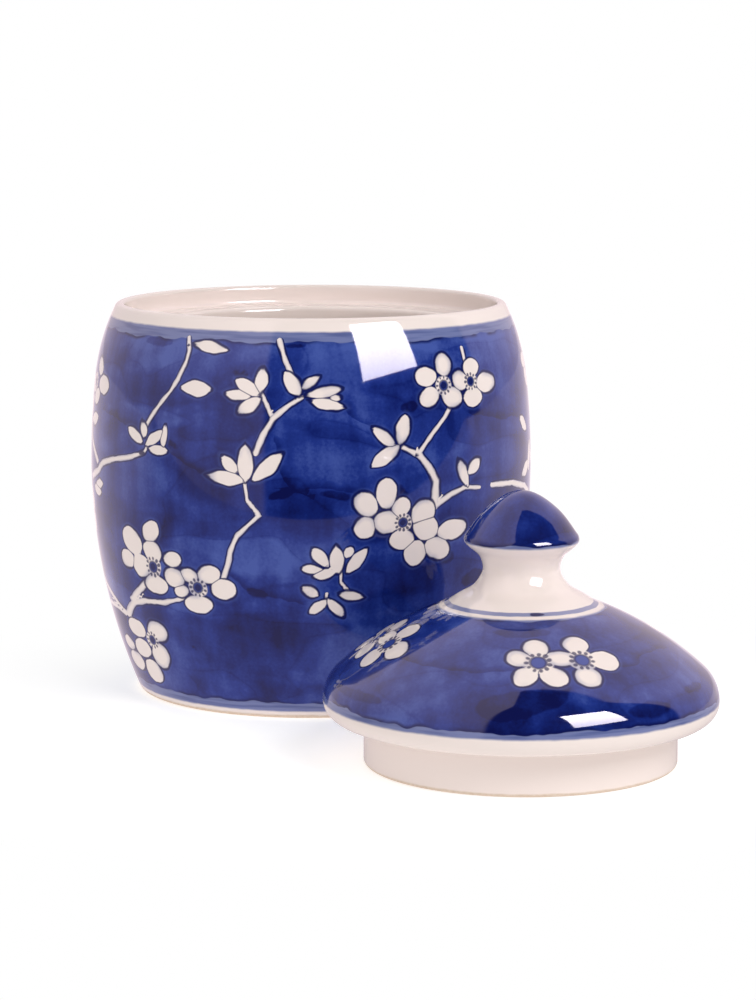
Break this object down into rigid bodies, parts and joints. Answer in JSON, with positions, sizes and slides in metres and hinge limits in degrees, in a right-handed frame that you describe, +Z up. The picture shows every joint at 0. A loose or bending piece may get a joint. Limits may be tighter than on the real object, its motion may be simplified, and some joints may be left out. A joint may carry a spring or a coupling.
{
  "type": "lidded storage jar",
  "caption": "Barrel-shaped porcelain storage jar with a rounded rim and an inner ledge, standing open beside its domed lid with a mushroom knob and a plain flange.",
  "frame": {"origin": "centre of the jar's foot ring, on the table", "axes": "+Z up along the jar's axis; -Y towards the side where the lid stands; the lid stands to the +X side of it"},
  "size_m": [0.2156, 0.2718, 0.1403],
  "materials": {
    "painted_porcelain": "glossy clear glaze over hand-painted cobalt blue, with blossoms left in white",
    "white_porcelain": "glossy clear glaze over white porcelain, with a cobalt blue cap"
  },
  "bodies": {
    "jar": {"jar": "painted_porcelain"},
    "lid": {"lid": "painted_porcelain", "lid_knob": "white_porcelain"}
  },
  "joints": [
    {"name": "lid_lift", "type": "slide", "parent": "jar", "child": "lid", "axis": [0, 0, 1], "range_m": [0, 0.15]}
  ]
}
